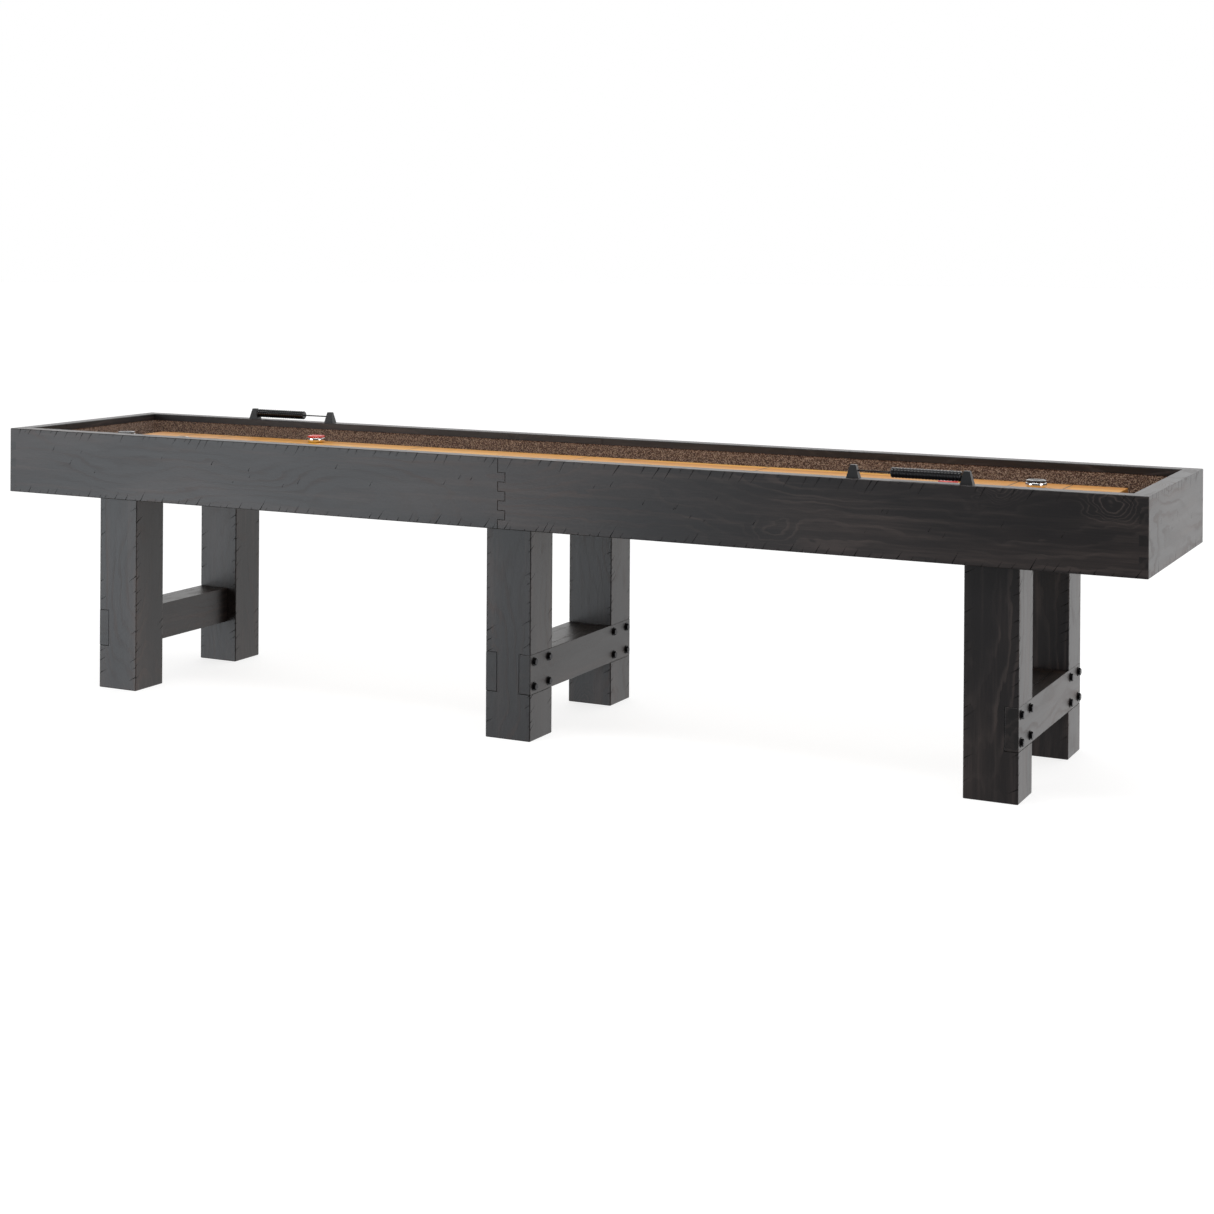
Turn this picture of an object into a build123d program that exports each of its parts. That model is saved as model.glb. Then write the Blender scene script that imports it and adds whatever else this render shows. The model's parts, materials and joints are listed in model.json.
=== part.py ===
"""A 12 ft shuffleboard table: a long tray-like cabinet of thick stained boards on three pairs of square legs.

A butcher-block playing board lies on cradles inside the cabinet, with a carpeted gutter all round it. Two bead
scorers stand on the rails, and eight pucks lie on the board.

Frame: millimetres, origin on the floor under the middle of the table, +X along its length, +Z up. The front is
at -Y. The scorer at the front is near the +X end and the scorer at the back is near the -X end.
"""

import os
from math import hypot

from build123d import *

# Cabinet
table_length = 3658.0
table_width = 716.0
rim_height = 812.0
apron_height = 205.0
rail_width = 49.0  # top of the rail, from the outer face to the lip
lip_height = 21.0  # bare wood above the carpet
lip_reveal = 1.5  # the lip stands this far proud of the carpet
carpet_thickness = 3.5
floor_thickness = 18.0
edge_ease = 2.5

# Finger joint where the two halves of each long side meet
finger_depth = 24.0
finger_count = 6
finger_top_land = 43.0  # plain butt joint above the first finger
seam_groove = 1.3  # each board's face is chamfered this much along a seam

# Playing board and what carries it
board_drop = 48.0  # from the rim down to the playing surface
board_width = 406.0
board_thickness = 45.0
end_gutter = 124.0  # from the lip to the end of the board
board_chamfer = 1.5
cradle_count = 6
cradle_width = 70.0
cradle_inset = 16.0  # from the board's long edge
cradle_end_inset = 130.0  # from the board's end to the outer cradle's middle

# Legs
leg_x = 146.0
leg_y = 134.0
leg_end_inset = 412.0  # from the table's end to the middle of the end legs, before the shift
leg_shift = 8.0  # all three pairs stand this far off centre, towards +X
leg_face_inset = 31.0  # from the apron's face to the leg's outer face
leg_ease = 3.0

# Stretchers: a core beam between two legs and plates let into the legs' faces
stretcher_bottom = 134.0
stretcher_height = 114.0
plate_thickness = 37.0
end_core_thickness = 73.0
stretcher_ease = 2.0
housing_gap = 0.6  # round a plate in its housing, shown as a fine shadow line
tenon_length = 32.0
tenon_thickness = 28.0
tenon_height = 70.0
tenon_gap = 0.4

# Bolts that hold the plates to the legs
bolt_outer_inset = 25.0  # from the leg's outer face to the outer bolts
bolt_inner_inset = 21.0  # from the leg's inner face to the inner bolts
bolt_inset_z = 21.5  # from the plate's edges
bolt_diameter = 10.0
bolt_tip_gap = 4.0  # from a bolt's tip to the tenon behind it
bolt_head_flats = 18.0
bolt_head_height = 6.5
bolt_head_dome = 1.5
washer_diameter = 26.0
washer_thickness = 1.6
bolt_gap = 0.4  # radial, in its hole

# Screws that hold each leg to the cabinet floor
leg_screw_diameter = 8.0
leg_screw_length = 70.0
leg_screw_head = 20.0
leg_screw_head_height = 6.0
leg_screw_spread_x = 90.0
leg_screw_spread_y = 52.0
screw_gap = 0.4

# Steel plate and bolts that join the two halves of the cabinet under the board
splice_length = 240.0
splice_thickness = 6.0
splice_edge_gap = 20.0  # from the board's long edge
splice_bolt_diameter = 8.0
splice_bolt_head = 20.0
splice_bolt_head_height = 3.5
splice_bolt_spread_x = 150.0
splice_bolt_spread_y = 110.0
splice_nut_flats = 13.0
splice_nut_height = 6.5
splice_bolt_past = 3.0  # thread standing past the nut

# Adjusters under the board, which bow it up or down with the seasons
adjuster_drop = 30.0  # from the board's underside to the rod
adjuster_edge_inset = 30.0  # from the board's long edge to the bracket
bracket_length = 40.0
bracket_foot = 34.0
bracket_thickness = 5.0
bracket_skirt = 18.0  # below the rod's middle
adjuster_rod_diameter = 12.0
adjuster_rod_past = 14.0  # rod standing past each bracket
lock_nut_flats = 19.0
lock_nut_height = 8.0
turn_nut_flats = 24.0
turn_nut_length = 70.0
running_gap = 0.3  # radial, between pieces that turn or slide on each other

# Levelers under the legs
leveler_recess_diameter = 50.0
leveler_recess_depth = 15.0
leveler_pad_diameter = 38.0
leveler_pad_height = 8.0
leveler_hex_flats = 17.0
leveler_hex_height = 5.0
leveler_lift = 0.6  # the retracted pad clears the floor by this
leveler_stem_diameter = 10.0
leveler_stem_length = 38.0
leveler_insert_diameter = 15.0
leveler_insert_length = 25.0

# Scorers on the rails
scorer_offset = 1206.5  # from the table's middle to the scorer's middle
post_spacing = 309.0
post_base_x = 35.0
post_base_y = 24.0
post_top_x = 16.0
post_top_y = 14.0
post_height = 35.0
post_ease = 1.2
rod_diameter = 4.0
rod_height = 20.0  # above the rim
rod_seat_gap = 0.05
bead_diameter = 27.5
bead_thickness = 8.7
bead_round = 3.6
bead_count = 21
loose_beads = 2  # the innermost beads, each on its own
bead_gap = 0.3  # between neighbours, and from the last bead to the post

# Pucks
puck_diameter = 58.7
puck_weight_height = 16.0
puck_base_diameter = 51.0
puck_cap_diameter = 57.0
puck_cap_height = 6.0
puck_ease = 1.0
puck_float = 0.3
puck_places = {
    "puck_red_1": (-988.0, 157.0),
    "puck_red_2": (1216.0, 82.0),
    "puck_red_3": (1222.0, -45.0),
    "puck_red_4": (-1452.0, -167.0),
    "puck_dark_1": (1432.0, 82.0),
    "puck_dark_2": (-1610.0, -45.0),
    "puck_dark_3": (-1337.0, -106.0),
    "puck_dark_4": (1330.0, -167.0),
}

# Places that follow from the sizes above
half_length = table_length / 2
half_width = table_width / 2
apron_bottom = rim_height - apron_height
wall = rail_width - lip_reveal - carpet_thickness  # below the lip, behind the carpet
inside_x = half_length - wall
inside_y = half_width - wall
lip_bottom = rim_height - lip_height
floor_top = apron_bottom + floor_thickness
carpet_top = floor_top + carpet_thickness
board_top = rim_height - board_drop
board_bottom = board_top - board_thickness
board_length = table_length - 2 * (rail_width + end_gutter)
leg_outer_y = half_width - leg_face_inset
leg_inner_y = leg_outer_y - leg_y
leg_middle_y = leg_outer_y - leg_y / 2
leg_sets = {
    "left": leg_shift - half_length + leg_end_inset,
    "middle": leg_shift,
    "right": leg_shift + half_length - leg_end_inset,
}
stretcher_middle_z = stretcher_bottom + stretcher_height / 2
rail_middle_y = half_width - rail_width / 2
bolt_length = min(leg_x / 2, plate_thickness + end_core_thickness / 2) - tenon_thickness / 2 - bolt_tip_gap

# The first bead's flat face stops this far from the scorer's middle, clear of the post's sloping side
post_slope = (post_base_x - post_top_x) / 2 / post_height
bead_shoulder = rod_height - bead_diameter / 2 + bead_round  # height of the flat face's lower edge
post_half = post_base_x / 2 - post_slope * bead_shoulder
post_lean = hypot(1, post_slope)
bead_stop = post_spacing / 2 - post_half - (bead_round + bead_gap) * post_lean + bead_round

LOW = (Align.CENTER, Align.CENTER, Align.MIN)
nodes = {}


def block(x0, x1, y0, y1, z0, z1):
    """A plain block between two corners."""
    box = Box(x1 - x0, y1 - y0, z1 - z0)
    return Pos((x0 + x1) / 2, (y0 + y1) / 2, (z0 + z1) / 2) * box


def upright(radius, height, x, y, z):
    """A vertical round bar that stands on z."""
    return Pos(x, y, z) * Cylinder(radius, height, align=LOW)


def mirrored_x(shape):
    return mirror(shape, Plane.YZ)


def mirrored_y(shape):
    return mirror(shape, Plane.XZ)


def half_turn(shape):
    """The same piece at the other end and side of the table."""
    return Rot(0, 0, 180) * shape


def group(pieces):
    return Compound(list(pieces))


# ---- Cabinet sides ----


def rail_profile():
    """Section of a side board at the front, in the YZ plane: a lip at the top, thinner below it."""
    outer = -half_width
    points = [
        (outer, apron_bottom),
        (outer, rim_height),
        (outer + rail_width, rim_height),
        (outer + rail_width, lip_bottom),
        (outer + wall, lip_bottom),
        (outer + wall, apron_bottom),
    ]
    face = make_face(Plane.YZ * Polyline(*points, close=True))
    inner_corner = [v for v in face.vertices() if v.Z > rim_height - 1 and v.Y > outer + 1]
    return fillet(inner_corner, edge_ease)


cabinet = block(-half_length, half_length, -half_width, half_width, apron_bottom, rim_height)
cabinet = fillet(cabinet.edges(), edge_ease)
beyond = 10.0  # masks and cutters reach this far past what they cut
finger_height = (apron_height - finger_top_land) / finger_count
finger_tops = [rim_height - finger_top_land - level * finger_height for level in range(finger_count)]


def upright_prism(outline):
    """A prism over a plan outline, taller than the cabinet."""
    plan = make_face(Polyline(*outline, close=True))
    return Pos(0, 0, apron_bottom - beyond) * extrude(plan, apron_height + 2 * beyond, dir=(0, 0, 1))


def seam_points():
    """The stepped seam between the two halves, from above the rim to below the apron."""
    points = [(-finger_depth / 2, rim_height + beyond)]
    for level, top in enumerate(finger_tops):
        side = -1 if level % 2 == 0 else 1
        points.append((side * finger_depth / 2, top))
        points.append((-side * finger_depth / 2, top))
    points.append((points[-1][0], apron_bottom - beyond))
    return points


def corner_fingers(first):
    """Every other finger at the front right corner, from finger number first, where the boards interlock."""
    x0, y1 = half_length - finger_depth, -half_width + finger_depth
    return [
        block(x0, half_length, -half_width, y1, top - finger_height, top) for top in finger_tops[first::2]
    ]


def grooved(board):
    """Chamfers the edges of the front face that run along the seam between the halves."""
    along_seam = [
        edge
        for edge in board.edges()
        if edge.bounding_box().max.Y < -half_width + 0.01 and abs(edge.center().X) < finger_depth
    ]
    return chamfer(along_seam, seam_groove)


def long_side_halves():
    """The front board's left and right halves: mitred under interlocking fingers, and finger jointed."""
    reach = half_length - rail_width
    outer, inner = -half_width, -half_width + rail_width
    mitred = upright_prism([(-half_length, outer), (half_length, outer), (reach, inner), (-reach, inner)])
    board = extrude(rail_profile(), half_length, both=True) & mitred
    board = board - corner_fingers(0) - [mirrored_x(finger) for finger in corner_fingers(0)]
    board = board + corner_fingers(1) + [mirrored_x(finger) for finger in corner_fingers(1)]
    board = board & cabinet
    halves = []
    for end in (-half_length - beyond, half_length + beyond):
        seam = seam_points()
        around = [(end, seam[-1][1]), (end, seam[0][1])]
        side = make_face(Plane.XZ * Polyline(*seam, *around, close=True))
        mask = extrude(side, half_width + beyond, dir=(0, -1, 0))
        halves.append(grooved((board & mask).solids()[0]))
    return halves


def end_board():
    """The right end board, a length of the same section that interlocks with both long sides."""
    bar = Pos(half_length - half_width, 0, 0) * extrude(rail_profile().rotate(Axis.Z, 90), half_width, both=True)
    reach = half_width - rail_width
    inner = half_length - rail_width
    outline = [(half_length, -half_width), (half_length, half_width), (inner, reach), (inner, -reach)]
    bar = bar & upright_prism(outline)
    bar = bar - corner_fingers(1) - [mirrored_y(finger) for finger in corner_fingers(1)]
    bar = bar + corner_fingers(0) + [mirrored_y(finger) for finger in corner_fingers(0)]
    return (bar & cabinet).solids()[0]


front_left, front_right = long_side_halves()
nodes["front_apron_left"] = front_left
nodes["front_apron_right"] = front_right
nodes["rear_apron_left"] = mirrored_y(front_left)
nodes["rear_apron_right"] = mirrored_y(front_right)
right_end = end_board()
nodes["end_board_right"] = right_end
nodes["end_board_left"] = mirrored_x(right_end)


# ---- Floor, and the screws and bolts that pass through it ----

leg_screw_places = [
    (set_x + side_x * leg_screw_spread_x / 2, side_y * (leg_middle_y + row * leg_screw_spread_y / 2))
    for set_x in leg_sets.values()
    for side_x in (-1, 1)
    for side_y in (-1, 1)
    for row in (-1, 1)
]
splice_bolt_places = [
    (side * splice_bolt_spread_x / 2, row * splice_bolt_spread_y)
    for side in (-1, 1)
    for row in (-1, 0, 1)
]


def floor_half(x0, x1):
    """One half of the floor panel, drilled for the leg screws and the splice bolts."""
    panel = block(x0, x1, -inside_y, inside_y, apron_bottom, floor_top)
    cuts = []
    for x, y in leg_screw_places:
        if x0 < x < x1:
            cuts.append(upright(leg_screw_diameter / 2 + screw_gap, floor_thickness, x, y, apron_bottom))
            depth = leg_screw_head_height + screw_gap
            cuts.append(upright(leg_screw_head / 2 + screw_gap, depth, x, y, floor_top - depth))
    for x, y in splice_bolt_places:
        if x0 < x < x1:
            cuts.append(upright(splice_bolt_diameter / 2 + screw_gap, floor_thickness, x, y, apron_bottom))
    return panel - cuts


def leg_screw(x, y):
    """A screw whose head is sunk flush in the floor and whose thread is in the leg below."""
    top = floor_top - screw_gap
    head = upright(leg_screw_head / 2, leg_screw_head_height, x, y, top - leg_screw_head_height)
    shank = upright(leg_screw_diameter / 2, leg_screw_length, x, y, top - leg_screw_length)
    return head + shank


def splice_bolt(x, y):
    """A carriage bolt up through the floor and the splice plate, with its nut on the plate."""
    head_z = apron_bottom - splice_bolt_head_height
    nut_z = floor_top + splice_thickness
    head = upright(splice_bolt_head / 2, splice_bolt_head_height, x, y, head_z)
    head = fillet(head.edges().group_by(Axis.Z)[0], splice_bolt_head_height / 2)
    shank_length = nut_z + splice_nut_height + splice_bolt_past - head_z
    shank = upright(splice_bolt_diameter / 2, shank_length, x, y, head_z)
    nut = Pos(x, y, nut_z) * extrude(RegularPolygon(splice_nut_flats / 2, 6, major_radius=False), splice_nut_height)
    return head + shank + nut


splice_y = board_width / 2 - splice_edge_gap
splice_top = floor_top + splice_thickness
splice_plate = block(-splice_length / 2, splice_length / 2, -splice_y, splice_y, floor_top, splice_top)
splice_holes = [
    upright(splice_bolt_diameter / 2 + screw_gap, splice_thickness, x, y, floor_top)
    for x, y in splice_bolt_places
]
nodes["cabinet_floor_left"] = floor_half(-inside_x, 0)
nodes["cabinet_floor_right"] = floor_half(0, inside_x)
nodes["floor_splice_plate"] = splice_plate - splice_holes
nodes["floor_splice_bolts"] = group(splice_bolt(x, y) for x, y in splice_bolt_places)
nodes["leg_screws"] = group(leg_screw(x, y) for x, y in leg_screw_places)


# ---- Playing board, cradles and carpet ----

cradle_places = [
    (2 * n / (cradle_count - 1) - 1) * (board_length / 2 - cradle_end_inset) for n in range(cradle_count)
]


def cradle(x):
    """A cross batten that carries the board above the floor."""
    half = board_width / 2 - cradle_inset
    return block(x - cradle_width / 2, x + cradle_width / 2, -half, half, floor_top, board_bottom)


def carpet_half(x0, x1):
    """Carpet glued to the walls and the floor of one half, cut round the cradles and the splice plate."""
    skin = block(x0, x1, -inside_y, inside_y, floor_top, lip_bottom)
    hollow_x0 = x0 + carpet_thickness if x0 < 0 else x0
    hollow_x1 = x1 - carpet_thickness if x1 > 0 else x1
    hollow_y = inside_y - carpet_thickness
    hollow = block(hollow_x0, hollow_x1, -hollow_y, hollow_y, carpet_top, lip_bottom)
    under = [cradle(x) for x in cradle_places]
    return (skin - hollow - under - splice_plate).solids()[0]


board = block(
    -board_length / 2, board_length / 2, -board_width / 2, board_width / 2, board_bottom, board_top
)
nodes["playing_board"] = chamfer(board.edges(), board_chamfer)
nodes["board_cradles"] = group(cradle(x) for x in cradle_places)
nodes["gutter_carpet_left"] = carpet_half(-inside_x, 0)
nodes["gutter_carpet_right"] = carpet_half(0, inside_x)


# ---- Board adjusters ----

adjuster_z = board_bottom - adjuster_drop
bracket_y = board_width / 2 - adjuster_edge_inset
adjuster_reach = (cradle_places[-1] + cradle_places[-2]) / 2  # midway between the last two cradles
adjuster_places = {"left": -adjuster_reach, "middle": 0.0, "right": adjuster_reach}


def along_y(shape):
    """Turns a piece that was made along Z so that it lies along Y."""
    return Rot(90, 0, 0) * shape


def adjuster_bracket(x, side):
    """An angle screwed under the board, with a hole for the rod in its hanging leg."""
    web_y0 = bracket_y - bracket_thickness
    x0, x1 = x - bracket_length / 2, x + bracket_length / 2
    web = block(x0, x1, web_y0, bracket_y, adjuster_z - bracket_skirt, board_bottom)
    foot = block(x0, x1, bracket_y - bracket_foot, bracket_y, board_bottom - bracket_thickness, board_bottom)
    drill = Cylinder(adjuster_rod_diameter / 2 + screw_gap, 4 * bracket_thickness)
    angle = web + foot - Pos(x, bracket_y, adjuster_z) * along_y(drill)
    return angle if side > 0 else mirrored_y(angle)


def adjuster_rod(x):
    """The threaded rod with a lock nut on each side of both brackets."""
    reach = bracket_y + adjuster_rod_past
    rod = along_y(Cylinder(adjuster_rod_diameter / 2, 2 * reach))
    flat_nut = extrude(RegularPolygon(lock_nut_flats / 2, 6, major_radius=False), lock_nut_height / 2, both=True)
    for side in (-1, 1):
        for offset in (-bracket_thickness - lock_nut_height / 2, lock_nut_height / 2):
            rod += Pos(0, side * (bracket_y + offset), 0) * along_y(flat_nut)
    return Pos(x, 0, adjuster_z) * rod


def turn_nut(x):
    """The long nut at the middle of the rod, which a spanner turns."""
    body = extrude(RegularPolygon(turn_nut_flats / 2, 6, major_radius=False), turn_nut_length / 2, both=True)
    body -= Cylinder(adjuster_rod_diameter / 2 + running_gap, turn_nut_length)
    return Pos(x, 0, adjuster_z) * along_y(body)


nodes["adjuster_brackets"] = group(
    adjuster_bracket(x, side) for x in adjuster_places.values() for side in (-1, 1)
)
nodes["adjuster_rods"] = group(adjuster_rod(x) for x in adjuster_places.values())
for place, x in adjuster_places.items():
    nodes[f"adjuster_nut_{place}"] = turn_nut(x)


# ---- Stretchers: plates, cores and their bolts ----

bolt_heights = (stretcher_bottom + bolt_inset_z, stretcher_bottom + stretcher_height - bolt_inset_z)
bolt_rows = [
    side * y for side in (-1, 1) for y in (leg_outer_y - bolt_outer_inset, leg_inner_y + bolt_inner_inset)
]
bolt_places = [(y, z) for y in bolt_rows for z in bolt_heights]
plate_faces = {
    "end_left": (leg_sets["left"] - leg_x / 2, -1),
    "middle_left": (leg_sets["middle"] - leg_x / 2, -1),
    "middle_right": (leg_sets["middle"] + leg_x / 2, 1),
    "end_right": (leg_sets["right"] + leg_x / 2, 1),
}


def along_x(shape, face_x, facing, y, z):
    """Puts a piece made up along Z on a face at face_x, pointing out along X."""
    return Pos(face_x, y, z) * Rot(0, 90 * facing, 0) * shape


def plate_bolt(face_x, facing, y, z):
    """A hex bolt with a domed head on a round washer; its shank goes through the plate into the leg."""
    washer = Cylinder(washer_diameter / 2, washer_thickness, align=LOW)
    head = extrude(RegularPolygon(bolt_head_flats / 2, 6, major_radius=False), bolt_head_height)
    head = chamfer(head.edges().group_by(Axis.Z)[-1], bolt_head_dome)
    shank = Pos(0, 0, -bolt_length) * Cylinder(bolt_diameter / 2, bolt_length, align=LOW)
    return along_x(washer + Pos(0, 0, washer_thickness) * head + shank, face_x, facing, y, z)


def bolt_hole(face_x, facing, y, z):
    depth = bolt_length + bolt_gap
    hole = Pos(0, 0, -depth) * Cylinder(bolt_diameter / 2 + bolt_gap, depth, align=LOW)
    return along_x(hole, face_x, facing, y, z)


def stretcher_plate(face_x, facing):
    """A plate as long as the leg pair is wide, flush with the legs' faces."""
    back_x = face_x - facing * plate_thickness
    x0, x1 = min(face_x, back_x), max(face_x, back_x)
    top = stretcher_bottom + stretcher_height
    plate = block(x0, x1, -leg_outer_y, leg_outer_y, stretcher_bottom, top)
    plate = fillet(plate.edges(), stretcher_ease)
    return plate - [bolt_hole(face_x, facing, y, z) for y, z in bolt_places]


def stretcher_core(x0, x1):
    """The beam between the legs, with a tenon at each end."""
    top = stretcher_bottom + stretcher_height
    beam = block(x0, x1, -leg_inner_y, leg_inner_y, stretcher_bottom, top)
    return beam + tenons(x0, x1, 0)


def tenons(x0, x1, gap):
    """Both tenons of a core as one bar, or the mortises for them when a gap is given."""
    middle = (x0 + x1) / 2
    half_t = tenon_thickness / 2 + gap
    half_h = tenon_height / 2 + gap
    reach = leg_inner_y + tenon_length + gap
    return block(
        middle - half_t, middle + half_t, -reach, reach, stretcher_middle_z - half_h, stretcher_middle_z + half_h
    )


plate_backs = {place: face_x - facing * plate_thickness for place, (face_x, facing) in plate_faces.items()}
core_spans = {
    "left": (plate_backs["end_left"], plate_backs["end_left"] + end_core_thickness),
    "middle": (plate_backs["middle_left"], plate_backs["middle_right"]),
    "right": (plate_backs["end_right"] - end_core_thickness, plate_backs["end_right"]),
}
for place, (face_x, facing) in plate_faces.items():
    nodes[f"stretcher_plate_{place}"] = stretcher_plate(face_x, facing)
for place, (x0, x1) in core_spans.items():
    nodes[f"stretcher_core_{place}"] = stretcher_core(x0, x1)
nodes["stretcher_bolts"] = group(
    plate_bolt(face_x, facing, y, z) for face_x, facing in plate_faces.values() for y, z in bolt_places
)


# ---- Legs and levelers ----

insert_z = leveler_recess_depth
stem_top = leveler_lift + leveler_pad_height + leveler_hex_height + leveler_stem_length


def plate_housing(face_x, facing):
    """The slot across a leg's face that a plate is let into."""
    back_x = face_x - facing * (plate_thickness + housing_gap)
    x0, x1 = min(face_x, back_x), max(face_x, back_x)
    top = stretcher_bottom + stretcher_height + housing_gap
    reach = leg_outer_y + 10
    return block(x0, x1, -reach, reach, stretcher_bottom - housing_gap, top)


def leg(set_x, side, core):
    """A square leg with its plate housings, mortise, bolt holes, screw holes and leveler bore."""
    y = side * leg_middle_y
    post = Pos(set_x, y, 0) * Box(leg_x, leg_y, apron_bottom, align=LOW)
    top_edges = post.edges().group_by(Axis.Z)[-1]
    post = fillet(post.edges() - top_edges, leg_ease)
    cuts = [tenons(*core, tenon_gap)]
    for face_x, facing in plate_faces.values():
        if abs(face_x - set_x) < leg_x:
            cuts.append(plate_housing(face_x, facing))
            cuts += [bolt_hole(face_x, facing, by, bz) for by, bz in bolt_places if by * side > 0]
    for sx, sy in leg_screw_places:
        if abs(sx - set_x) < leg_x and sy * side > 0:
            depth = leg_screw_length - floor_thickness + 2 * screw_gap
            cuts.append(upright(leg_screw_diameter / 2 + screw_gap, depth, sx, sy, apron_bottom - depth))
    cuts.append(upright(leveler_recess_diameter / 2, leveler_recess_depth, set_x, y, 0))
    cuts.append(upright(leveler_insert_diameter / 2, leveler_insert_length, set_x, y, insert_z))
    bore = leveler_stem_diameter / 2 + running_gap
    cuts.append(upright(bore, stem_top + running_gap - insert_z, set_x, y, insert_z))
    return (post - cuts).solids()[0]


def leveler_insert(x, y):
    """The threaded sleeve pressed into the leg above the recess."""
    sleeve = Cylinder(leveler_insert_diameter / 2, leveler_insert_length, align=LOW)
    sleeve -= Cylinder(leveler_stem_diameter / 2 + running_gap, leveler_insert_length, align=LOW)
    return Pos(x, y, insert_z) * sleeve


def leveler(x, y):
    """A screw foot, wound right up into the leg: pad, spanner hex and stem in one."""
    pad = Cylinder(leveler_pad_diameter / 2, leveler_pad_height, align=LOW)
    pad = chamfer(pad.edges().group_by(Axis.Z)[-1], leveler_pad_height / 2)
    spanner = extrude(RegularPolygon(leveler_hex_flats / 2, 6, major_radius=False), leveler_hex_height)
    stem = Cylinder(leveler_stem_diameter / 2, leveler_stem_length, align=LOW)
    stem = Pos(0, 0, leveler_hex_height) * stem
    return Pos(x, y, leveler_lift) * (pad + Pos(0, 0, leveler_pad_height) * (spanner + stem))


for name, side in (("front", -1), ("rear", 1)):
    for place, set_x in leg_sets.items():
        nodes[f"leg_{name}_{place}"] = leg(set_x, side, core_spans[place])
        nodes[f"leveler_{name}_{place}"] = leveler(set_x, side * leg_middle_y)
nodes["leveler_inserts"] = group(
    leveler_insert(set_x, side * leg_middle_y) for set_x in leg_sets.values() for side in (-1, 1)
)


# ---- Scorers ----


def scorer_post(x):
    """A tapered post that stands on the rail and holds one end of the rod."""
    y = -rail_middle_y
    foot = Plane.XY.offset(rim_height) * Pos(x, y) * Rectangle(post_base_x, post_base_y)
    head = Plane.XY.offset(rim_height + post_height) * Pos(x, y) * Rectangle(post_top_x, post_top_y)
    post = loft([foot, head])
    lying = post.edges().group_by(Axis.Z)[0]
    post = fillet(post.edges() - lying, post_ease)
    seat = Cylinder(rod_diameter / 2 + rod_seat_gap, post_spacing + rod_diameter)
    return post - Pos(scorer_offset, y, rim_height + rod_height) * Rot(0, 90, 0) * seat


def scorer_rod():
    rod = Cylinder(rod_diameter / 2, post_spacing)
    return Pos(scorer_offset, -rail_middle_y, rim_height + rod_height) * Rot(0, 90, 0) * rod


def bead(number):
    """Bead number counted from the outer post, as a rounded disc on the rod."""
    ring = Cylinder(bead_diameter / 2, bead_thickness)
    ring = fillet(ring.edges(), bead_round)
    ring -= Cylinder(rod_diameter / 2 + running_gap, bead_thickness)
    pitch = bead_thickness + bead_gap
    x = scorer_offset + bead_stop - bead_thickness / 2 - number * pitch
    return Pos(x, -rail_middle_y, rim_height + rod_height) * Rot(0, 90, 0) * ring


front_scorer = {
    "scorer_posts": group(scorer_post(scorer_offset + side * post_spacing / 2) for side in (-1, 1)),
    "scorer_rod": scorer_rod(),
    "scorer_beads": group(bead(n) for n in range(bead_count - loose_beads)),
}
for n in range(loose_beads):
    front_scorer[f"scorer_bead_{n + 1}"] = bead(bead_count - 1 - n)
for name, piece in front_scorer.items():
    nodes[f"front_{name}"] = piece
    nodes[f"rear_{name}"] = half_turn(piece)


# ---- Pucks ----


def puck(x, y):
    """A steel weight that narrows to its base, with a coloured cap on top."""
    weight = Cylinder(puck_diameter / 2, puck_weight_height, align=LOW)
    narrowing = (puck_diameter - puck_base_diameter) / 2
    weight = chamfer(weight.edges().group_by(Axis.Z)[0], narrowing)
    weight = fillet(weight.edges().group_by(Axis.Z)[-1], puck_ease)
    cap = Cylinder(puck_cap_diameter / 2, puck_cap_height, align=LOW)
    cap = fillet(cap.edges().group_by(Axis.Z)[-1], 2 * puck_ease)
    place = Pos(x, y, board_top + puck_float)
    return group([place * weight, place * Pos(0, 0, puck_weight_height) * cap])


for name, (x, y) in puck_places.items():
    nodes[name] = puck(x, y)


os.makedirs("parts", exist_ok=True)
for name, shape in nodes.items():
    export_step(shape, f"parts/{name}.step")
packed = bead_count * bead_thickness + (bead_count - 1) * bead_gap
print(len(nodes), "nodes; the beads together can travel", round(2 * bead_stop - packed, 2))
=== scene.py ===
import json
import math
import random

import bmesh
import bpy
from mathutils import Matrix, Vector

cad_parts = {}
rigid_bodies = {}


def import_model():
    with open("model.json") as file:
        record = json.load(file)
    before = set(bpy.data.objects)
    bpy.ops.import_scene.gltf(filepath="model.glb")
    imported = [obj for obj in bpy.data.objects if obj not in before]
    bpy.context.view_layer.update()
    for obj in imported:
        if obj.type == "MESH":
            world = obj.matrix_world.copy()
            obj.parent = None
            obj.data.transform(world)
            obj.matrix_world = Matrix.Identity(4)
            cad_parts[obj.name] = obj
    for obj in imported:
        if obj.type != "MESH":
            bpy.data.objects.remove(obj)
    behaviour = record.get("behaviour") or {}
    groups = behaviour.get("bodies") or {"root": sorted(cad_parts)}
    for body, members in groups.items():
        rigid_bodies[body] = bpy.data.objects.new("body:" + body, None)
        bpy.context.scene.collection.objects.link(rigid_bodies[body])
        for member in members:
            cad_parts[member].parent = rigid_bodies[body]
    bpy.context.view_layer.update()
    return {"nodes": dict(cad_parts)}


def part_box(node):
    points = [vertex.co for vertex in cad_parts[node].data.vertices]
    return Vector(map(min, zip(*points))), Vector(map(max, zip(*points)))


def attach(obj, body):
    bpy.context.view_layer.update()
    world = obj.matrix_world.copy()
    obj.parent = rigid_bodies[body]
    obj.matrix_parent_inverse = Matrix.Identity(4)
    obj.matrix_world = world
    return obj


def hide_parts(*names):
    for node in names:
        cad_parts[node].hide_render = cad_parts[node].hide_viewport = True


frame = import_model()


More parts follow.
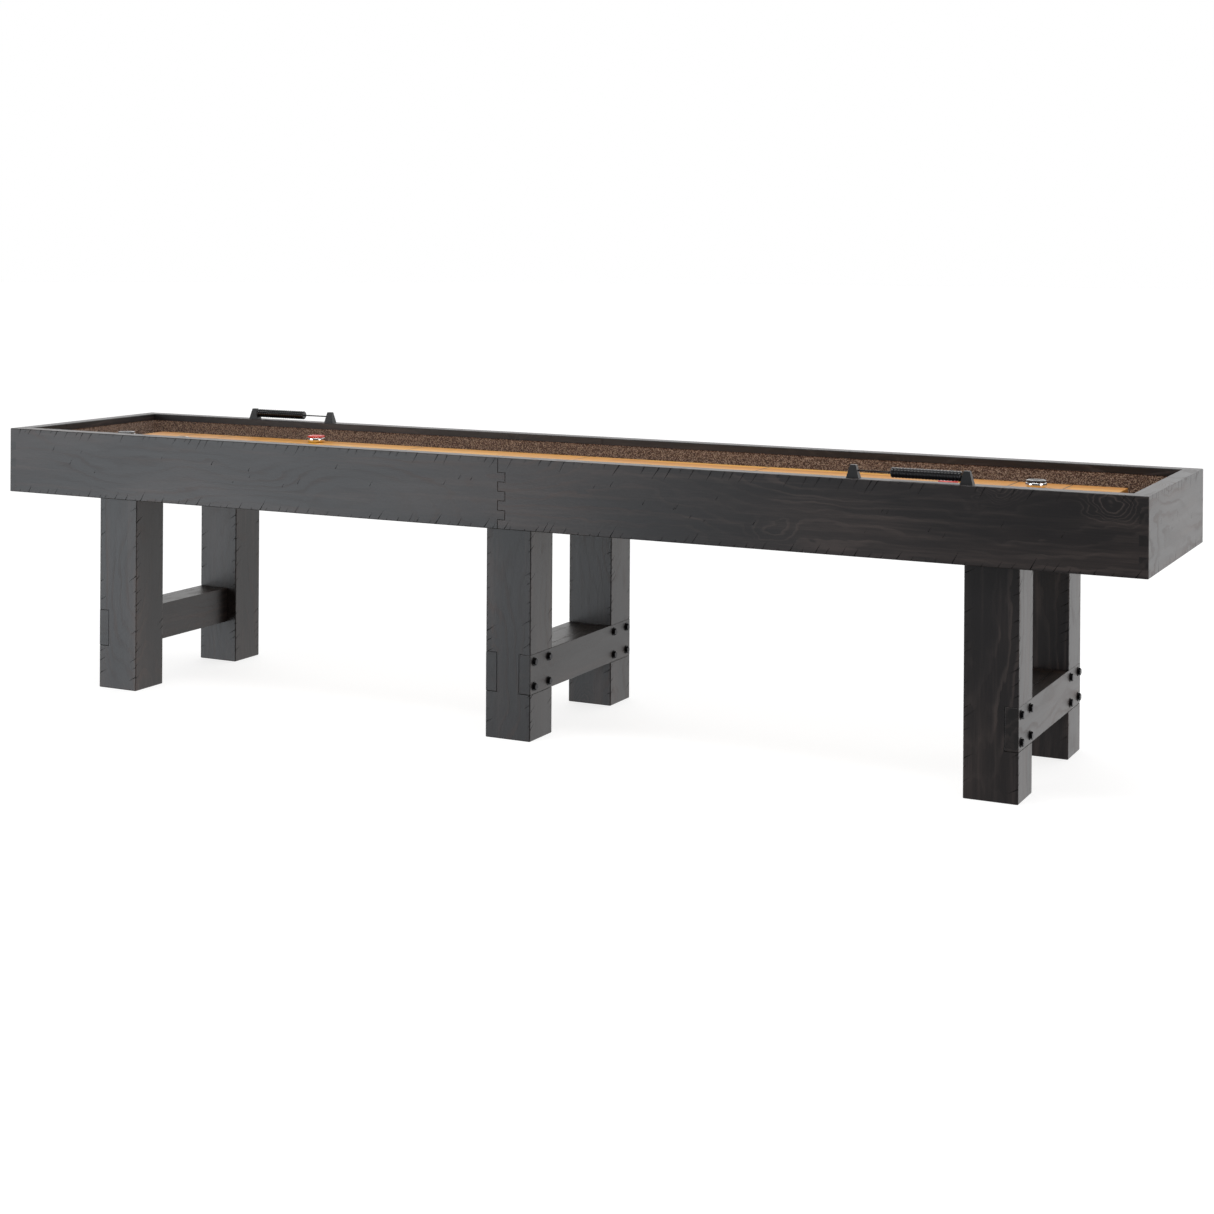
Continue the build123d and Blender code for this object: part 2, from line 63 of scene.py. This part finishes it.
# ---- The room ----
# The table stands on a pale floor in a white studio, seen from near its right-hand front corner. A large
# soft light at the front left greys the left half of the front board, and the bright back of the room
# silvers the end faces.
scene = bpy.context.scene
scene.view_settings.view_transform = "Standard"

lens = bpy.data.cameras.new("camera")
lens.sensor_width = 36.0
lens.lens = 61.34
lens.shift_y = -0.2965
camera = bpy.data.objects.new("camera", lens)
scene.collection.objects.link(camera)
turn_left, look_down, tip = math.radians(26.41), math.radians(0.21), math.radians(0.355)
level_aim = Vector((-math.sin(turn_left), math.cos(turn_left), 0))
aim = level_aim * math.cos(look_down) - Vector((0, 0, math.sin(look_down)))
across = Vector((math.cos(turn_left), math.sin(turn_left), 0))
up = across.cross(aim)
tipped_across = across * math.cos(tip) + up * math.sin(tip)
tipped_up = up * math.cos(tip) - across * math.sin(tip)
camera_place = (2.8954, -5.5181, 1.4374)
camera_axes = Matrix((tipped_across, tipped_up, -aim)).transposed()
camera.matrix_world = Matrix.LocRotScale(camera_place, camera_axes, None)
scene.camera = camera


class Signal:
    """A number or a colour inside a finish; arithmetic on it adds Math nodes."""

    def __init__(self, finish, socket):
        self.finish = finish
        self.socket = socket

    def math(self, operation, *values):
        inputs = dict(enumerate(values))
        return self.finish.node("ShaderNodeMath", {"operation": operation}, inputs)

    def __add__(self, other):
        return self.math("ADD", self, other)

    def __radd__(self, other):
        return self.math("ADD", other, self)

    def __sub__(self, other):
        return self.math("SUBTRACT", self, other)

    def __rsub__(self, other):
        return self.math("SUBTRACT", other, self)

    def __mul__(self, other):
        return self.math("MULTIPLY", self, other)

    def __rmul__(self, other):
        return self.math("MULTIPLY", other, self)

    def __truediv__(self, other):
        return self.math("DIVIDE", self, other)

    def abs(self):
        return self.math("ABSOLUTE", self)

    def floor(self):
        return self.math("FLOOR", self)

    def fraction(self):
        return self.math("FRACT", self)

    def above(self, limit):
        return self.math("GREATER_THAN", self, limit)

    def step(self, low, high):
        """Rises smoothly from nought at low to one at high; with low the larger, it falls."""
        ends = {"Value": self, "From Min": low, "From Max": high}
        return self.finish.node("ShaderNodeMapRange", {"interpolation_type": "SMOOTHSTEP"}, ends)


class Finish:
    """A material, and the one way its nodes are made."""

    def __init__(self, name, tree=None):
        self.material = None
        if tree is None:
            self.material = bpy.data.materials.new(name)
            self.material.use_nodes = True
            tree = self.material.node_tree
            self.shader = tree.nodes["Principled BSDF"]
        self.tree = tree

    def node(self, kind, settings=None, inputs=None, output=0):
        made = self.tree.nodes.new(kind)
        for key, value in (settings or {}).items():
            if key == "stops":
                for stop, (place, colour) in zip(list(made.color_ramp.elements), value):
                    stop.position, stop.color = place, (*colour, 1)
                for place, colour in value[2:]:
                    made.color_ramp.elements.new(place).color = (*colour, 1)
            else:
                setattr(made, key, value)
        for key, value in (inputs or {}).items():
            self.feed(made.inputs[key], value)
        return Signal(self, made.outputs[output])

    def feed(self, socket, value):
        if isinstance(value, Signal):
            self.tree.links.new(value.socket, socket)
        elif isinstance(value, tuple) and len(value) == 3 and socket.type == "RGBA":
            socket.default_value = (*value, 1)
        else:
            socket.default_value = value

    def place(self):
        """Where the shaded point is, as three signals in metres."""
        point = self.node("ShaderNodeTexCoord", output="Object")
        return [self.node("ShaderNodeSeparateXYZ", inputs={0: point}, output=axis) for axis in range(3)]

    def point(self, x, y, z):
        return self.node("ShaderNodeCombineXYZ", inputs={0: x, 1: y, 2: z})

    def noise(self, point, scale=1.0, detail=2.0, roughness=0.5):
        inputs = {"Vector": point, "Scale": scale, "Detail": detail, "Roughness": roughness}
        return self.node("ShaderNodeTexNoise", inputs=inputs)

    def mix(self, share, first, second):
        """The first colour where share is nought and the second where it is one."""
        return self.node("ShaderNodeMix", {"data_type": "RGBA"}, {0: share, 6: first, 7: second}, output=2)

    def bump(self, height, distance, strength=1.0):
        inputs = {"Height": height, "Distance": distance, "Strength": strength}
        return self.node("ShaderNodeBump", inputs=inputs)

    def wear(self, **values):
        """Sets the shader's sockets; base_color stands for Base Color, and so on."""
        for key, value in values.items():
            self.feed(self.shader.inputs[key.replace("_", " ").title().replace("Ior", "IOR")], value)
        return self.material


world = bpy.data.worlds.new("studio")
world.use_nodes = True
scene.world = world
studio = Finish("studio", world.node_tree)
backdrop = world.node_tree.nodes["Background"]
backdrop.inputs["Color"].default_value = (1, 1, 1, 1)
toward = studio.node("ShaderNodeTexCoord", output="Generated")
toward_y = studio.node("ShaderNodeSeparateXYZ", inputs={0: toward}, output=1)
toward_z = studio.node("ShaderNodeSeparateXYZ", inputs={0: toward}, output=2)
toward_x = studio.node("ShaderNodeSeparateXYZ", inputs={0: toward}, output=0)
back = toward_y.step(0.1, 0.75)
glow = 0.16 + 1.2 * back * (1 - 0.6 * toward_x.step(0.55, 0.8)) + 0.35 * toward_z.step(0.5, 0.9)
seen = studio.node("ShaderNodeLightPath", output="Is Camera Ray")
strength = studio.node("ShaderNodeMix", {"data_type": "FLOAT"}, {0: seen, 2: glow, 3: 1.0})
studio.feed(backdrop.inputs["Strength"], strength)

floor_mesh = bpy.data.meshes.new("studio_floor")
sheet = bmesh.new()
floor_radius = 60
bmesh.ops.create_circle(sheet, cap_ends=True, segments=96, radius=floor_radius)
sheet.to_mesh(floor_mesh)
sheet.free()
studio_floor = bpy.data.objects.new("studio_floor", floor_mesh)
scene.collection.objects.link(studio_floor)
studio_floor.visible_glossy = False
studio_floor.visible_diffuse = False
studio_floor.visible_shadow = False
paint = Finish("floor_paint")
mottle = paint.noise(paint.point(*paint.place()), scale=0.6)
pale = paint.mix(mottle, (0.30, 0.30, 0.30), (0.32, 0.32, 0.32))
paint.wear(emission_color=(1, 1, 1), emission_strength=0.8)
floor_mesh.materials.append(paint.wear(base_color=pale, roughness=0.9))


def softbox(name, place, target, width, height, power, tint):
    light = bpy.data.lights.new(name, "AREA")
    light.shape = "RECTANGLE"
    light.size, light.size_y = width, height
    light.energy = power
    light.color = tint
    lamp = bpy.data.objects.new(name, light)
    lamp.location = place
    lamp.rotation_euler = (Vector(target) - Vector(place)).to_track_quat("-Z", "Y").to_euler()
    lamp.visible_camera = False
    scene.collection.objects.link(lamp)


softbox("front_left_light", (-3.9, -4.4, 0.2), (-1.2, 0.0, 0.5), 3.8, 3.6, 150, (0.90, 0.955, 1.0))
softbox("right_light", (5.0, -1.0, 0.8), (1.5, 0.0, 0.5), 2.0, 2.4, 60, (1.0, 0.96, 0.95))
softbox("overhead_light", (0.3, -1.4, 3.2), (0.0, 0.0, 0.8), 4.5, 0.5, 60, (1.0, 1.0, 1.0))


# ---- Cabinet boards ----
# The six side boards are knotty wood, stained a dark charcoal and lacquered satin. They lock together by
# fingers, whose joints show as crisp grooves, and short slanted saw marks are cut by hand along their
# edges.
rail = 0.049
saw_slant = math.radians(58)
end_saw_slant = math.radians(75)
longest_mark = 0.045
longest_end_mark = 0.040
longest_lip_mark = 0.016
corner_clearance = 0.010
random.seed(12)


dark_stain, light_stain = (0.0125, 0.0105, 0.0112), (0.066, 0.049, 0.044)


def stained_wood(name, along, seed):
    """Dark stained knotty wood whose grain runs along axis 0, 1 or 2."""
    wood = Finish(name)
    places = wood.place()
    run = places[along] + 3.7 * seed
    rise = places[2] if along != 2 else places[0]
    depth = places[1] if along != 1 else places[0]
    rise = rise + 1.3 * seed
    wander = wood.noise(wood.point(run * 6.0, rise * 12.0, depth * 12.0), detail=3.0)
    warp = wander - 0.5
    knot_place = wood.point(run * 3.6 + 0.5 * warp, rise * 6.0 + 0.9 * warp, depth * 6.0)
    cell = {"Vector": knot_place, "Scale": 1.0}
    to_knot = wood.node("ShaderNodeTexVoronoi", inputs=cell)
    kind = wood.node("ShaderNodeTexVoronoi", inputs=cell, output=1)
    is_knot = wood.node("ShaderNodeSeparateColor", inputs={0: kind}).above(0.6)
    swell = to_knot.step(0.42, 0.0) * is_knot
    flow = wood.noise(wood.point(run * 1.2, rise * 3.2, depth * 3.2), detail=1.0)
    ripple = wood.noise(wood.point(run * 5.0, rise * 34.0, depth * 34.0), detail=3.0, roughness=0.6)
    ring = (26.0 * rise + 15.0 * flow + 2.2 * warp + 1.1 * ripple + 6.0 * swell).fraction()
    late = ring.step(0.55, 0.86) * ring.step(1.0, 0.93)
    shown = wood.noise(wood.point(run * 2.6, rise * 9.0, depth * 9.0), detail=2.0).step(0.42, 0.66)
    fibre = wood.noise(wood.point(run * 14.0, rise * 520.0, depth * 520.0), detail=3.0, roughness=0.65)
    streak = wood.noise(wood.point(run * 1.7, rise * 42.0, depth * 42.0), detail=4.0, roughness=0.6)
    cloud = wood.noise(wood.point(run * 2.0, rise * 7.0, depth * 7.0), detail=3.0)
    heart = to_knot.step(0.10, 0.02) * is_knot
    rings = late * (0.25 + 0.75 * shown + 0.9 * swell)
    pale = 0.42 * rings + 0.42 * streak.step(0.45, 0.75)
    pale = pale + 0.16 * fibre.step(0.35, 0.75) + 0.45 * cloud.step(0.3, 0.75)
    facing = wood.node("ShaderNodeTexCoord", output="Normal")
    end_grain = wood.node("ShaderNodeSeparateXYZ", inputs={0: facing}, output=along).abs().step(0.75, 0.95)
    colour = wood.mix(pale.step(0.0, 1.25), dark_stain, light_stain)
    colour = wood.mix(heart * 0.8, colour, (0.006, 0.0045, 0.0045))
    colour = wood.mix(end_grain * 0.5, colour, (0.009, 0.0075, 0.0075))
    height = 0.6 * fibre + 0.25 * late - 0.5 * heart
    gloss = 0.36 + 0.08 * rings + 0.10 * streak
    return wood.wear(base_color=colour, roughness=gloss, normal=wood.bump(height, 0.0005, 0.4))


def paint_cut_shade():
    """Near-black colour for the walls of the saw marks: painted shade inside the cuts."""
    dark_cut = Finish("painted_cut_shade")
    speck = dark_cut.noise(dark_cut.point(*dark_cut.place()), scale=700, detail=2)
    # Near black with a fine speckle, darker than the darkest stain: painted shade in the saw marks.
    shade = dark_cut.mix(speck, (0.003, 0.0028, 0.003), (0.012, 0.010, 0.010))
    return dark_cut.wear(base_color=shade, roughness=0.55 + 0.2 * speck)


painted_cut_shade = paint_cut_shade()


class Marks:
    """A set of thin four-sided points that cut saw marks into the edges of a board's faces."""

    def __init__(self):
        self.mesh = bmesh.new()

    def cut(self, start, direction, normal, length, width):
        """One mark: deepest at start, running out along direction on the face."""
        side = normal.cross(direction)
        turned = Matrix((side, normal, direction)).transposed().to_4x4()
        middle = start + direction * (length / 2)
        bmesh.ops.create_cone(
            self.mesh,
            cap_ends=True,
            segments=4,
            radius1=width,
            radius2=width * 0.08,
            depth=length,
            matrix=Matrix.Translation(middle) @ turned @ Matrix.Diagonal((0.55, 1.0, 1.0, 1.0)),
        )

    def along(self, start, end, inward, normal, slant, spacing=0.032, longest=0.045):
        """Marks all along an edge of a face, leaning the same way, with uneven steps and lengths."""
        run = end - start
        reach, edge = run.length, run.normalized()
        at = random.uniform(0.3, 1.0) * spacing
        while at < reach - 0.01:
            length = random.choice((0.35, 0.4, 0.55, 0.75, 1.0)) * longest * random.uniform(0.8, 1.1)
            lean = slant + random.uniform(-0.09, 0.09)
            direction = (edge * math.cos(lean) + inward * math.sin(lean)).normalized()
            foot = start + edge * at - direction * 0.004
            self.cut(foot, direction, normal, length, random.uniform(0.0018, 0.0032))
            at += spacing * random.uniform(0.55, 1.5)

    def scattered(self, corner, edge, inward, width, height, normal, slant, count):
        """A few strokes out in the middle of a face."""
        for _ in range(count):
            at = corner + edge * random.uniform(0.05, 0.95) * width
            at = at + inward * random.uniform(0.3, 0.7) * height
            direction = edge * math.cos(slant) + inward * math.sin(slant)
            self.cut(at, direction, normal, random.uniform(0.008, 0.022), random.uniform(0.0011, 0.0018))


def carved(node, name, marks, material):
    """A copy of a CAD piece with the marks cut out of it, which stands in for that piece."""
    shape = bmesh.new()
    shape.from_mesh(bpy.data.objects[node].data)
    bmesh.ops.remove_doubles(shape, verts=shape.verts, dist=1e-6)
    mesh = bpy.data.meshes.new(name)
    for face in shape.faces:
        face.smooth = False
    shape.to_mesh(mesh)
    shape.free()
    knife_mesh = bpy.data.meshes.new("knife")
    # The knife's faces become the walls of each saw mark and take the second slot, the painted shade of the
    # cuts.
    for face in marks.mesh.faces:
        face.material_index = 1
    marks.mesh.to_mesh(knife_mesh)
    marks.mesh.free()
    for blank in (mesh, knife_mesh):
        blank.materials.append(material)
        blank.materials.append(painted_cut_shade)
    piece = bpy.data.objects.new(name, mesh)
    scene.collection.objects.link(piece)
    knife = bpy.data.objects.new("knife", knife_mesh)
    scene.collection.objects.link(knife)
    carve = piece.modifiers.new("carve", "BOOLEAN")
    carve.operation = "DIFFERENCE"
    carve.solver = "EXACT"
    carve.use_self = True
    carve.object = knife
    result = bpy.data.meshes.new_from_object(piece.evaluated_get(bpy.context.evaluated_depsgraph_get()))
    piece.modifiers.clear()
    piece.data = result
    bpy.data.objects.remove(knife)
    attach(piece, "table")
    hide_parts(node)


X, Y, Z = Vector((1, 0, 0)), Vector((0, 1, 0)), Vector((0, 0, 1))
lip_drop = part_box("front_apron_left")[1].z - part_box("gutter_carpet_left")[1].z


def long_board(node, front, seed):
    """Marks on the outer face and on the lip of half a long side."""
    low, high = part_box(node)
    marks = Marks()
    outward = -Y if front else Y
    outer_y = low.y if front else high.y
    lip_y = outer_y - outward.y * rail
    for face_y, normal, bottom in ((outer_y, outward, low.z), (lip_y, -outward, high.z - lip_drop)):
        right = normal.cross(Z) * -1
        left_x, right_x = (low.x, high.x) if right.x > 0 else (high.x, low.x)
        top_left, top_right = Vector((left_x, face_y, high.z)), Vector((right_x, face_y, high.z))
        inset = right * (rail if normal == -outward else corner_clearance)
        longest = longest_mark if bottom == low.z else longest_lip_mark
        marks.along(top_right - inset, top_left + inset, -Z, normal, saw_slant, longest=longest)
        if bottom == low.z:
            bottom_left = Vector((left_x, face_y, bottom))
            bottom_right = Vector((right_x, face_y, bottom))
            marks.along(bottom_left + inset, bottom_right - inset, Z, normal, saw_slant, longest=longest)
            marks.scattered(bottom_left, right, Z, high.x - low.x, high.z - low.z, normal, saw_slant, 16)
    carved(node, f"carved_{node}", marks, stained_wood(f"stain_{node}", 0, seed))


side_boards = [f"{row}_apron_{half}" for row in ("front", "rear") for half in ("left", "right")]
for number, node in enumerate(side_boards):
    long_board(node, node.startswith("front"), number + 1)


def end_board(node, seed):
    """Marks on the outer face and on the lip of an end board."""
    low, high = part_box(node)
    marks = Marks()
    outward = X if low.x > 0 else -X
    outer_x = high.x if low.x > 0 else low.x
    lip_x = outer_x - outward.x * rail
    for face_x, normal in ((outer_x, outward), (lip_x, -outward)):
        right = normal.cross(Z) * -1
        left_y, right_y = (low.y, high.y) if right.y > 0 else (high.y, low.y)
        outer = normal == outward
        inset = right * (corner_clearance if outer else rail + corner_clearance)
        longest = longest_end_mark if outer else longest_lip_mark
        top_left, top_right = Vector((face_x, left_y, high.z)), Vector((face_x, right_y, high.z))
        marks.along(top_right - inset, top_left + inset, -Z, normal, end_saw_slant, longest=longest)
        if outer:
            bottom_left = Vector((face_x, left_y, low.z))
            bottom_right = Vector((face_x, right_y, low.z))
            marks.along(bottom_left + inset, bottom_right - inset, Z, normal, end_saw_slant, longest=longest)
            marks.scattered(bottom_left, right, Z, high.y - low.y, high.z - low.z, normal, end_saw_slant, 8)
    carved(node, f"carved_{node}", marks, stained_wood(f"stain_{node}", 1, seed))


for number, node in enumerate(("end_board_left", "end_board_right")):
    end_board(node, number + 5)


# ---- Legs ----
# Six square posts of the same stained wood with upright grain, screwed up into the cabinet's floor. Their
# corners are eased and cut with saw marks that rise to the right on every face.
leg_slant = math.radians(58)
leg_mark_spacing = 0.034
foot_clearance = 0.020


def leg(node, seed):
    low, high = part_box(node)
    marks = Marks()
    for normal in (-Y, X, Y, -X):
        right = normal.cross(Z) * -1
        middle = (low + high) / 2
        half_wide = abs((high - low).dot(right)) / 2
        face = middle + normal * abs((high - low).dot(normal)) / 2
        left_edge, right_edge = face - right * half_wide, face + right * half_wide
        for edge, inward in ((left_edge, right), (right_edge, -right)):
            start, end = edge.copy(), edge.copy()
            heights = (low.z + foot_clearance, high.z)
            start.z, end.z = heights if inward == right else reversed(heights)
            marks.along(start, end, inward, normal, leg_slant, leg_mark_spacing, longest_end_mark)
    carved(node, f"carved_{node}", marks, stained_wood(f"stain_{node}", 2, seed))


leg_names = [f"leg_{row}_{place}" for row in ("front", "rear") for place in ("left", "middle", "right")]
for number, node in enumerate(leg_names):
    leg(node, number + 11)


# ---- Stretchers ----
# Low beams of the same wood are tenoned between the legs of each pair. Plates bolted over them are let
# into the legs' faces, with a fine shadow line round each housing.
def finish_node(node, material):
    """Gives a CAD piece its real finish."""
    mesh = bpy.data.objects[node].data
    mesh.materials.clear()
    mesh.materials.append(material)


for number, place in enumerate(("left", "middle", "right")):
    finish_node(f"stretcher_core_{place}", stained_wood(f"stain_core_{place}", 1, number + 21))
for number, place in enumerate(("end_left", "middle_left", "middle_right", "end_right")):
    finish_node(f"stretcher_plate_{place}", stained_wood(f"stain_plate_{place}", 1, number + 25))


# ---- Metalwork ----
# The bolts, brackets and splice plate are blackened steel, rubbed bright here and there; the screws,
# nuts, rods and levelers are zinc plated.
def worn_metal(name, colour, bright, roughness):
    metal = Finish(name)
    point = metal.point(*metal.place())
    grain = metal.noise(point, scale=900, detail=3)
    patch = metal.noise(point, scale=160, detail=4).step(0.55, 0.75)
    shade = metal.mix(0.6 * patch, colour, bright)
    gloss = roughness + 0.18 * grain - 0.08 * patch
    metal.wear(metallic=0.9, normal=metal.bump(grain, 0.0002, 0.3))
    return metal.wear(base_color=shade, roughness=gloss)


black_steel = worn_metal("black_steel", (0.018, 0.018, 0.02), (0.09, 0.09, 0.095), 0.32)
zinc = worn_metal("zinc_plate", (0.52, 0.53, 0.52), (0.68, 0.67, 0.62), 0.30)
for node in ("stretcher_bolts", "adjuster_brackets", "floor_splice_plate"):
    finish_node(node, black_steel)
zinc_plated = ("leveler_", "adjuster_nut_", "adjuster_rods", "leg_screws", "floor_splice_bolts")
for node in frame["nodes"]:
    if node.startswith(zinc_plated):
        finish_node(node, zinc)


# ---- Floor panels and cradles ----
# The cabinet's floor is bare birch plywood in two panels, glued into the side boards. Dark-stained
# softwood cradles are screwed across it and carry the playing board.
def plain_wood(name, along, dark, pale, seed):
    wood = Finish(name)
    places = wood.place()
    run = places[along] + seed
    cross = places[1 - along]
    streak = wood.noise(wood.point(run * 3.0, cross * 90.0, places[2] * 90.0), detail=4, roughness=0.6)
    cloud = wood.noise(wood.point(run * 1.3, cross * 6.0, places[2] * 6.0), detail=2)
    colour = wood.mix((0.7 * streak + 0.5 * cloud).step(0.3, 0.9), dark, pale)
    wood.wear(normal=wood.bump(streak, 0.0004, 0.5))
    return wood.wear(base_color=colour, roughness=0.55 + 0.2 * streak)


birch = plain_wood("birch_plywood", 0, (0.36, 0.23, 0.12), (0.62, 0.46, 0.29), 2.0)
finish_node("cabinet_floor_left", birch)
finish_node("cabinet_floor_right", birch)
softwood = plain_wood("cradle_softwood", 1, (0.05, 0.04, 0.035), (0.12, 0.095, 0.08), 5.0)
finish_node("board_cradles", softwood)


# ---- Gutter carpet ----
# A low loop pile in heathered browns lines the gutters. It is glued to the walls and floor of the
# cabinet, with a butt seam at the middle.
def carpet_pile():
    pile = Finish("heather_carpet")
    point = pile.point(*pile.place())
    loops = {"Vector": point, "Scale": 420.0, "Randomness": 1.0}
    loop = pile.node("ShaderNodeTexVoronoi", inputs=loops)
    dye = pile.node("ShaderNodeTexVoronoi", inputs=loops, output=1)
    yarn = pile.node("ShaderNodeSeparateColor", inputs={0: dye})
    tuft = pile.noise(point, scale=260, detail=3)
    mottle = (0.6 * yarn + 0.7 * tuft).step(0.25, 0.95)
    stops = [
        (0.0, (0.045, 0.022, 0.013)),
        (1.0, (0.50, 0.34, 0.24)),
        (0.40, (0.115, 0.060, 0.036)),
        (0.75, (0.22, 0.130, 0.084)),
    ]
    colour = pile.node("ShaderNodeValToRGB", {"stops": stops}, {0: mottle})
    height = (1 - loop.step(0.0, 0.8)) + 0.8 * tuft
    pile.wear(sheen_weight=0.25, sheen_roughness=0.5)
    return pile.wear(base_color=colour, roughness=0.95, normal=pile.bump(height, 0.002, 0.8))


carpet = carpet_pile()
finish_node("gutter_carpet_left", carpet)
finish_node("gutter_carpet_right", carpet)


# ---- Playing board ----
# Honey butcher block, glued up from long narrow strips and poured over with a clear polymer coat. Dark
# foul and scoring lines are inlaid across it, the same at both ends.
strip_width = 0.034
stave_length = 0.9
scoring_lines = (0.0, 0.6, 1.351, 1.504)
line_edge = (0.0024, 0.0017)
board_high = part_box("playing_board")[1]


def butcher_block():
    block = Finish("butcher_block")
    x, y, z = block.place()
    across_strips = y / strip_width + 40.0
    strip = across_strips.floor()
    jump = block.node("ShaderNodeTexWhiteNoise", {"noise_dimensions": "1D"}, {"W": strip})
    stave = (x / stave_length + 7.0 * jump).floor()
    piece = {"Vector": block.point(strip, stave, 0.0)}
    kind = block.node("ShaderNodeTexWhiteNoise", {"noise_dimensions": "2D"}, piece)
    grain = block.noise(block.point(x * 5.0, y * 240.0, z * 240.0 + 9.0 * kind), detail=4, roughness=0.6)
    figure = block.noise(block.point(x * 2.0 + 30.0 * kind, y * 30.0, z * 30.0), detail=2)
    tone = 0.55 * kind + 0.35 * grain + 0.35 * figure
    colour = block.mix(tone.step(0.2, 1.0), (0.62, 0.235, 0.022), (0.86, 0.42, 0.055))
    seam = across_strips.fraction()
    glue = seam.step(0.03, 0.0) + seam.step(0.97, 1.0)
    colour = block.mix(0.35 * glue, colour, (0.16, 0.06, 0.01))
    line = 0.0
    for place in scoring_lines:
        line = line + (x.abs() - place).abs().step(*line_edge)
    top = z.step(board_high.z - 0.0040, board_high.z - 0.0015)
    colour = block.mix(line * top, colour, (0.018, 0.011, 0.006))
    block.wear(coat_roughness=0.05, coat_weight=0.15, specular_ior_level=0.25)
    return block.wear(base_color=colour, roughness=0.28 + 0.08 * grain)


finish_node("playing_board", butcher_block())


# ---- Scorers ----
# Tapered posts of fine-grained black plastic are screwed to the rails and hold a blackened steel rod
# between them. Glossy moulded black beads slide on the rod to keep the score.
def black_plastic(name, roughness, texture, shade):
    plastic = Finish(name)
    point = plastic.point(*plastic.place())
    grain = plastic.noise(point, scale=texture, detail=2)
    smear = plastic.noise(point, scale=60, detail=3)
    colour = plastic.mix(smear, shade, tuple(1.5 * part for part in shade))
    gloss = roughness + 0.1 * smear
    return plastic.wear(base_color=colour, roughness=gloss, normal=plastic.bump(grain, 0.0002, 0.25))


post_plastic = black_plastic("post_plastic", 0.38, 1800, (0.010, 0.010, 0.011))
bead_plastic = black_plastic("bead_plastic", 0.10, 300, (0.004, 0.004, 0.005))
for side in ("front", "rear"):
    finish_node(f"{side}_scorer_posts", post_plastic)
    finish_node(f"{side}_scorer_rod", black_steel)
    for part in ("beads", "bead_1", "bead_2"):
        finish_node(f"{side}_scorer_{part}", bead_plastic)


# ---- Pucks ----
# Each puck is a turned steel weight, chromed all over, that narrows to the ring it slides on. A thin
# coloured plastic cap is pressed into its top.
def chrome():
    plate = Finish("puck_chrome")
    turned = plate.noise(plate.point(*plate.place()), scale=500, detail=2)
    shade = plate.mix(turned, (0.78, 0.79, 0.80), (0.86, 0.86, 0.86))
    return plate.wear(base_color=shade, metallic=1.0, roughness=0.05 + 0.05 * turned)


def cap_plastic(name, shade):
    cap = Finish(name)
    smear = cap.noise(cap.point(*cap.place()), scale=90, detail=3)
    colour = cap.mix(smear, shade, tuple(0.75 * part for part in shade))
    return cap.wear(base_color=colour, roughness=0.22 + 0.1 * smear, coat_weight=0.3)


def turned(name, outline, centre, material, body):
    """A round piece spun from its outline of (radius, height) points."""
    shape = bmesh.new()
    points = [shape.verts.new((centre.x + r, centre.y, z)) for r, z in outline]
    edges = [shape.edges.new(pair) for pair in zip(points, points[1:])]
    bmesh.ops.spin(
        shape, geom=points + edges, cent=centre, axis=(0, 0, 1), angle=math.tau, steps=64, use_merge=True
    )
    bmesh.ops.remove_doubles(shape, verts=shape.verts, dist=1e-6)
    bmesh.ops.recalc_face_normals(shape, faces=shape.faces)
    mesh = bpy.data.meshes.new(name)
    shape.to_mesh(mesh)
    shape.free()
    mesh.materials.append(material)
    mesh.shade_smooth()
    mesh.set_sharp_from_angle(angle=math.radians(32))
    piece = bpy.data.objects.new(name, mesh)
    scene.collection.objects.link(piece)
    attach(piece, body)
    return piece


def rounded(points, radius, steps=4):
    """An outline with its inner corners rounded by arcs of short runs."""
    path = [points[0]]
    for before, corner, after in zip(points, points[1:], points[2:]):
        a, b, c = Vector(before), Vector(corner), Vector(after)
        reach = min(radius, (a - b).length / 2.01, (c - b).length / 2.01)
        start, end = b + (a - b).normalized() * reach, b + (c - b).normalized() * reach
        for n in range(steps + 1):
            t = n / steps
            path.append(tuple((1 - t) ** 2 * start + 2 * t * (1 - t) * b + t * t * end))
    path.append(points[-1])
    return path


puck_chrome = chrome()
cap_colours = {
    "red": cap_plastic("red_cap", (0.70, 0.028, 0.014)),
    "dark": cap_plastic("dark_cap", (0.012, 0.012, 0.014)),
}
for node in sorted(frame["nodes"]):
    if not node.startswith("puck_"):
        continue
    low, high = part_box(node)
    centre = (low + high) / 2
    wide, base, top = (high.x - low.x) / 2, low.z, high.z
    shoulder = top - 0.006
    weight = [
        (0.0, base + 0.0012), (wide - 0.014, base + 0.0012), (wide - 0.012, base), (wide - 0.0045, base),
        (wide - 0.0005, base + 0.0045), (wide, base + 0.009), (wide - 0.0008, shoulder - 0.001),
        (wide - 0.003, shoulder), (wide - 0.006, shoulder), (0.0, shoulder),
    ]
    cap = [
        (0.0, shoulder + 0.0001), (wide - 0.0016, shoulder + 0.0001), (wide - 0.0009, shoulder + 0.0022),
        (wide - 0.0018, top - 0.0006), (wide - 0.0045, top), (wide - 0.0105, top),
        (wide - 0.0120, top - 0.0012),
        (0.0072, top - 0.0012), (0.0060, top - 0.0004), (0.0, top - 0.0002),
    ]
    colour = "red" if "red" in node else "dark"
    body = turned(f"{node}_weight", rounded(weight, 0.0012), centre, puck_chrome, node)
    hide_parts(node)
    lid = turned(f"{node}_cap", rounded(cap, 0.0009), centre, cap_colours[colour], node)
    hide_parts(node)
